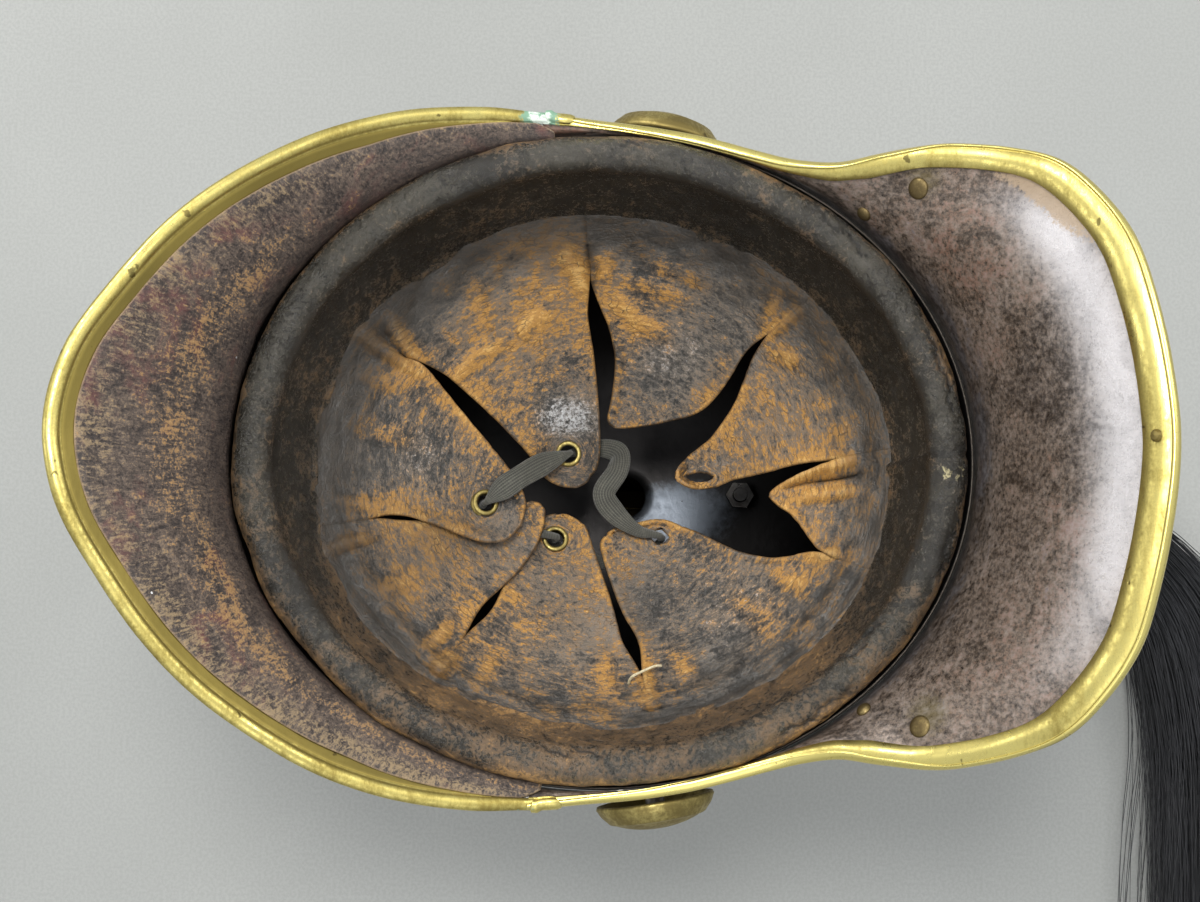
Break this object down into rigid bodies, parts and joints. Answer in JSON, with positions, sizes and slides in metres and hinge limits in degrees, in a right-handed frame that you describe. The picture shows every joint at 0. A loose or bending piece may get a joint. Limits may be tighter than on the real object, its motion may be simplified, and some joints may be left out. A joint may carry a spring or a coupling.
{
  "type": "comb helmet",
  "caption": "Plumed comb helmet with brass-edged peak and neck guard, rolled leather sweatband, laced leather liner and a swinging horsehair tail, stored crown down.",
  "frame": {"origin": "on the flat underside of the comb's ridge strip, straight below the middle of the head opening; the helmet is stored crown down, the way it lies in the picture, so +Z points out of the head opening", "axes": "+Z out of the head opening, away from the comb; -Y towards the tip of the front peak and +Y towards the neck guard and the tail; X = 0 is the mirror plane of the metalwork, and the wearer's left is -X"},
  "size_m": [0.3999, 0.4239, 0.2607],
  "materials": {
    "steel": "dark patina, pitted",
    "brass": "aged, worn bright on its edges",
    "liner_leather": "dry, scuffed, tan at its edges",
    "band_leather": "dark, polished by wear",
    "peak_leather": "dark red-brown, scratched",
    "lace_weave": "flat woven lace",
    "horsehair": "long black hair"
  },
  "bodies": {
    "shell": {"skull": "steel", "peak_plate": "steel", "neck_guard": "steel", "peak_rim": "brass", "neck_guard_rim": "brass", "peak_lining": "peak_leather", "neck_rivet_1": "steel", "neck_rivet_2": "steel", "neck_rivet_3": "steel", "neck_rivet_4": "steel", "rear_rim_pin": "brass", "comb_left": "brass", "comb_right": "brass", "comb_ridge_strip": "brass", "comb_front_cap": "brass", "comb_rear_cap": "brass", "comb_stud_front": "steel", "comb_stud_rear": "steel", "comb_nut_front": "steel", "comb_nut_rear": "steel", "boss_left": "brass", "boss_right": "brass", "boss_post_left": "steel", "boss_post_right": "steel", "boss_nut_left": "steel", "boss_nut_right": "steel", "sweatband": "band_leather", "sweatband_roll": "band_leather", "liner_skirt": "liner_leather", "tail_bracket": "brass", "tail_pivot_pin": "steel"},
    "tongue_1": {"liner_tongue_1": "liner_leather", "tongue_eyelet_1": "brass"},
    "tongue_2": {"liner_tongue_2": "liner_leather"},
    "tongue_3": {"liner_tongue_3": "liner_leather"},
    "tongue_4": {"liner_tongue_4": "liner_leather"},
    "tongue_5": {"liner_tongue_5": "liner_leather"},
    "tongue_6": {"liner_tongue_6": "liner_leather", "tongue_eyelet_6": "brass"},
    "tongue_7": {"liner_tongue_7": "liner_leather"},
    "tongue_8": {"liner_tongue_8": "liner_leather", "tongue_eyelet_8": "brass"},
    "lace": {"lace": "lace_weave"},
    "tail_swivel": {"tail_swivel": "brass", "tail_cross_pin": "steel"},
    "tail": {"tail_fork": "brass", "tail_ferrule": "brass", "tail_binding": "lace_weave", "horsehair_tail": "horsehair"}
  },
  "joints": [
    {"name": "tongue_1_flex", "type": "hinge", "parent": "shell", "child": "tongue_1", "pos_m": [-0.05779, -0.03908, 0.14176], "axis": [0.4718, -0.8817, 0], "range_deg": [-2, 2]},
    {"name": "tongue_2_flex", "type": "hinge", "parent": "shell", "child": "tongue_2", "pos_m": [-0.06396, 0.02805, 0.14176], "axis": [-0.3278, -0.9447, 0], "range_deg": [-3, 10]},
    {"name": "tongue_3_flex", "type": "hinge", "parent": "shell", "child": "tongue_3", "pos_m": [-0.02964, 0.07283, 0.14176], "axis": [-0.8892, -0.4574, 0], "range_deg": [-3, 12]},
    {"name": "tongue_4_flex", "type": "hinge", "parent": "shell", "child": "tongue_4", "pos_m": [0.01048, 0.08137, 0.14176], "axis": [-0.987, 0.1607, 0], "range_deg": [-3, 15]},
    {"name": "tongue_5_flex", "type": "hinge", "parent": "shell", "child": "tongue_5", "pos_m": [0.0512, 0.04841, 0.14176], "axis": [-0.599, 0.8007, 0], "range_deg": [-2, 2]},
    {"name": "tongue_6_flex", "type": "hinge", "parent": "shell", "child": "tongue_6", "pos_m": [0.06843, -0.01557, 0.14176], "axis": [0.1771, 0.9842, 0], "range_deg": [-2, 2]},
    {"name": "tongue_7_flex", "type": "hinge", "parent": "shell", "child": "tongue_7", "pos_m": [0.0402, -0.0657, 0.14176], "axis": [0.791, 0.6118, 0], "range_deg": [-2, 2]},
    {"name": "tongue_8_flex", "type": "hinge", "parent": "shell", "child": "tongue_8", "pos_m": [-0.01059, -0.07761, 0.14176], "axis": [0.9854, -0.17, 0], "range_deg": [-2, 2]},
    {"name": "lace_travel", "type": "slide", "parent": "shell", "child": "lace", "axis": [0, 0, 1], "range_m": [-0.0017, 0.0017]},
    {"name": "tail_swing", "type": "hinge", "parent": "shell", "child": "tail_swivel", "pos_m": [0, 0.112, 0.07], "axis": [0, 0, 1], "range_deg": [-40, 60]},
    {"name": "tail_lift", "type": "hinge", "parent": "tail_swivel", "child": "tail", "pos_m": [0, 0.124, 0.07], "axis": [1, 0, 0], "range_deg": [0, 50]}
  ],
  "couplings": [
    {"joint": "tongue_5_flex", "follows": "tongue_1_flex", "ratio": 1},
    {"joint": "tongue_6_flex", "follows": "tongue_1_flex", "ratio": 1},
    {"joint": "tongue_7_flex", "follows": "tongue_1_flex", "ratio": 1},
    {"joint": "tongue_8_flex", "follows": "tongue_1_flex", "ratio": 1},
    {"joint": "lace_travel", "follows": "tongue_1_flex", "m_per_rad": 0.0467}
  ]
}
